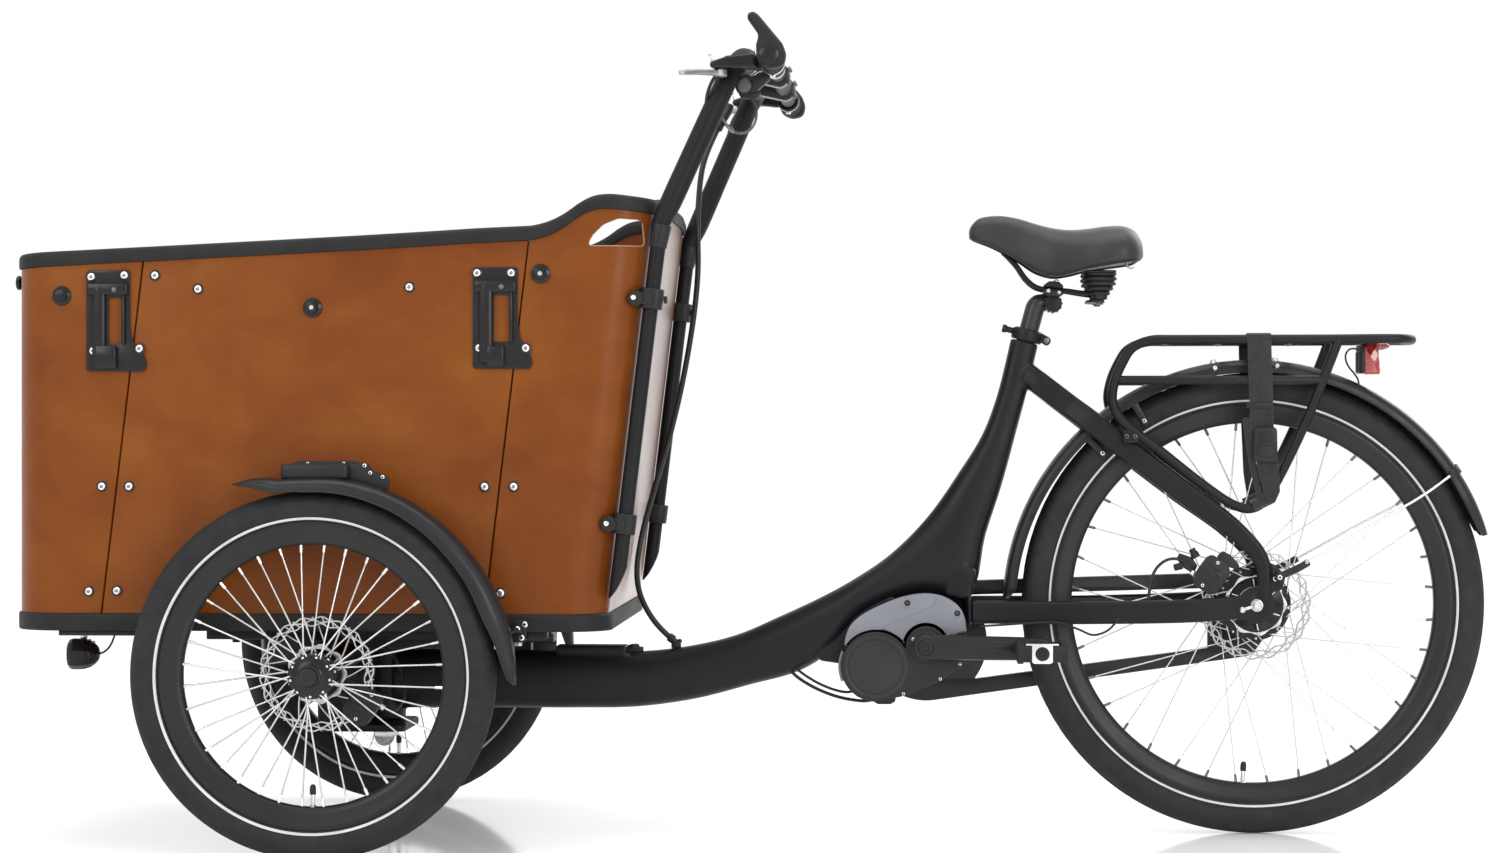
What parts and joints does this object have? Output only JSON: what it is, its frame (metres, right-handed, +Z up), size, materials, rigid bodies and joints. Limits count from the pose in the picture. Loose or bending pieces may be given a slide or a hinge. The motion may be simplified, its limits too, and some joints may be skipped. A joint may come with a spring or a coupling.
{
  "type": "electric cargo bike",
  "caption": "Electric cargo tricycle: plywood box between steered front wheels, swept low frame with mid motor, saddle, rack and one driven rear wheel.",
  "frame": {"origin": "on the ground under the middle of the bike's bounding box", "axes": "+Z up, the bike faces -X, its left side faces -Y"},
  "size_m": [2.0755, 0.846, 1.147],
  "materials": {
    "frame_black": "satin black coat",
    "plastic_black": "matte black",
    "tyre": "matte black",
    "rim_black": "black anodised",
    "steel": "bright",
    "silver": "satin silver",
    "wood": "stained and varnished plywood",
    "rubber": "matte dark grey",
    "saddle": "smooth dark grey",
    "red_lens": "glossy red",
    "webbing": "black woven"
  },
  "bodies": {
    "rear_frame": {"main_frame": "frame_black", "left_stays": "frame_black", "right_stays": "frame_black", "seat_clamp": "frame_black", "motor_housing": "plastic_black", "motor_side_cover": "silver", "chain": "steel", "chain_case": "plastic_black", "rear_axle": "steel", "rear_caliper": "plastic_black", "rear_mudguard": "plastic_black", "mudguard_stays": "steel", "rear_rack": "frame_black", "rack_strap": "webbing", "rear_light": "red_lens"},
    "seat": {"seat_post": "frame_black", "saddle_clamp": "plastic_black", "saddle_rails": "frame_black", "saddle_springs": "plastic_black", "saddle": "saddle"},
    "cranks": {"left_crank": "plastic_black", "right_crank": "plastic_black", "chainring": "plastic_black"},
    "left_pedal": {"left_pedal": "plastic_black"},
    "right_pedal": {"right_pedal": "plastic_black"},
    "rear_sprocket": {"rear_sprocket": "steel"},
    "rear_wheel": {"rear_tyre": "tyre", "rear_rim_and_hub": "rim_black", "rear_brake_disc": "steel"},
    "left_front_wheel": {"left_front_tyre": "tyre", "left_front_rim_and_hub": "rim_black", "left_front_brake_disc": "steel"},
    "right_front_wheel": {"right_front_tyre": "tyre", "right_front_rim_and_hub": "rim_black", "right_front_brake_disc": "steel"},
    "front_carrier": {"axle_yoke": "frame_black", "kingpin": "steel", "box_front_panel": "wood", "box_rear_panel": "wood", "box_left_panel": "wood", "box_right_panel": "wood", "box_floor": "wood", "box_base_trim": "rubber", "box_top_trim": "rubber", "bench": "wood", "battery": "plastic_black", "push_bar": "frame_black", "handlebar": "frame_black", "left_grip": "rubber", "right_grip": "rubber", "left_brake_body": "plastic_black", "right_brake_body": "plastic_black", "left_front_mudguard": "plastic_black", "right_front_mudguard": "plastic_black", "left_front_caliper": "plastic_black", "right_front_caliper": "plastic_black", "headlight": "plastic_black", "control_cable": "rubber"},
    "left_lever": {"left_brake_lever": "silver"},
    "right_lever": {"right_brake_lever": "silver"}
  },
  "joints": [
    {"name": "steering", "type": "hinge", "parent": "rear_frame", "child": "front_carrier", "pos_m": [-0.5612, 0, 0.25], "axis": [0, 0, 1], "range_deg": [-35, 35]},
    {"name": "seat_height", "type": "slide", "parent": "rear_frame", "child": "seat", "axis": [0.2534, 0, 0.9673], "range_m": [-0.012, 0.14]},
    {"name": "crank_spin", "type": "hinge", "parent": "rear_frame", "child": "cranks", "pos_m": [0.2298, 0, 0.2725], "axis": [0, 1, 0], "continuous": true},
    {"name": "left_pedal_spin", "type": "hinge", "parent": "cranks", "child": "left_pedal", "pos_m": [0.3918, -0.115, 0.2705], "axis": [0, 1, 0], "continuous": true},
    {"name": "right_pedal_spin", "type": "hinge", "parent": "cranks", "child": "right_pedal", "pos_m": [0.0678, 0.115, 0.2745], "axis": [0, 1, 0], "continuous": true},
    {"name": "sprocket_spin", "type": "hinge", "parent": "rear_frame", "child": "rear_sprocket", "pos_m": [0.7008, 0, 0.3325], "axis": [0, 1, 0], "continuous": true},
    {"name": "rear_wheel_spin", "type": "hinge", "parent": "rear_frame", "child": "rear_wheel", "pos_m": [0.7008, 0, 0.3325], "axis": [0, 1, 0], "continuous": true},
    {"name": "left_front_wheel_spin", "type": "hinge", "parent": "front_carrier", "child": "left_front_wheel", "pos_m": [-0.6002, -0.38, 0.25], "axis": [0, 1, 0], "continuous": true},
    {"name": "right_front_wheel_spin", "type": "hinge", "parent": "front_carrier", "child": "right_front_wheel", "pos_m": [-0.6002, 0.38, 0.25], "axis": [0, 1, 0], "continuous": true},
    {"name": "left_brake", "type": "hinge", "parent": "front_carrier", "child": "left_lever", "pos_m": [-0.0512, -0.281, 1.074], "axis": [0, 0, 1], "range_deg": [0, 25], "stiffness_Nm_per_rad": 0.5, "springref_deg": -17.19},
    {"name": "right_brake", "type": "hinge", "parent": "front_carrier", "child": "right_lever", "pos_m": [-0.0512, 0.281, 1.074], "axis": [0, 0, -1], "range_deg": [0, 25], "stiffness_Nm_per_rad": 0.5, "springref_deg": -17.19}
  ],
  "couplings": [
    {"joint": "sprocket_spin", "follows": "crank_spin", "ratio": 2.375}
  ]
}
